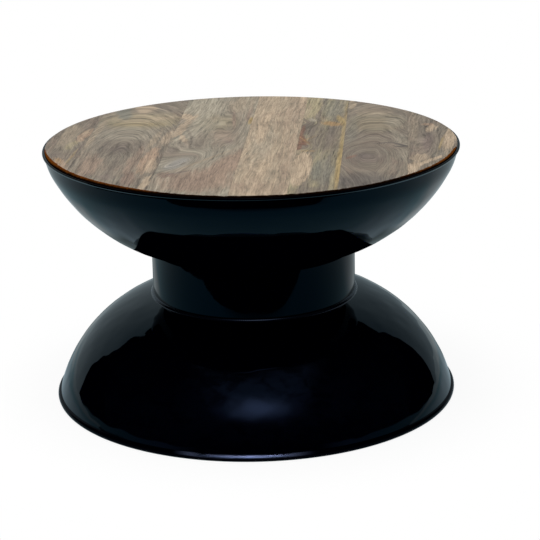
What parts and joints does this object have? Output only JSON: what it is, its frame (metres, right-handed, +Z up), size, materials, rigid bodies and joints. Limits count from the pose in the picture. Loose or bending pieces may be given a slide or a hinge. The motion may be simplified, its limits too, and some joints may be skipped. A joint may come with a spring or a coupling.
{
  "type": "drum table",
  "caption": "Round occasional table of two black gloss-painted metal dishes joined back to back by a short neck, with a disc of hardwood planks let into the upper dish.",
  "frame": {"origin": "middle of the footprint, on the floor", "axes": "+Z up along the table's axis; -Y towards the viewer of the picture, +X to the viewer's right"},
  "size_m": [0.7, 0.7, 0.4383],
  "materials": {
    "mango_wood": "satin lacquered hardwood planks with mixed grey and tan figure",
    "batten_wood": "plain sawn hardwood",
    "screw_steel": "yellow-grey zinc plate",
    "black_gloss_paint": "mirror-gloss black paint over hand-finished sheet"
  },
  "bodies": {
    "root": {"plank_1": "mango_wood", "plank_2": "mango_wood", "plank_3": "mango_wood", "plank_4": "mango_wood", "plank_5": "mango_wood", "plank_6": "mango_wood", "plank_7": "mango_wood", "batten_front": "batten_wood", "batten_middle": "batten_wood", "batten_back": "batten_wood", "batten_screws": "screw_steel", "tab_screws": "screw_steel", "upper_bowl": "black_gloss_paint", "upper_rim_hoop": "black_gloss_paint", "upper_neck_weld": "black_gloss_paint", "neck_sleeve": "black_gloss_paint", "lower_neck_weld": "black_gloss_paint", "lower_bowl": "black_gloss_paint", "lower_rim_ring": "black_gloss_paint", "support_tab_1": "black_gloss_paint", "support_tab_2": "black_gloss_paint", "support_tab_3": "black_gloss_paint", "support_tab_4": "black_gloss_paint"}
  },
  "joints": []
}
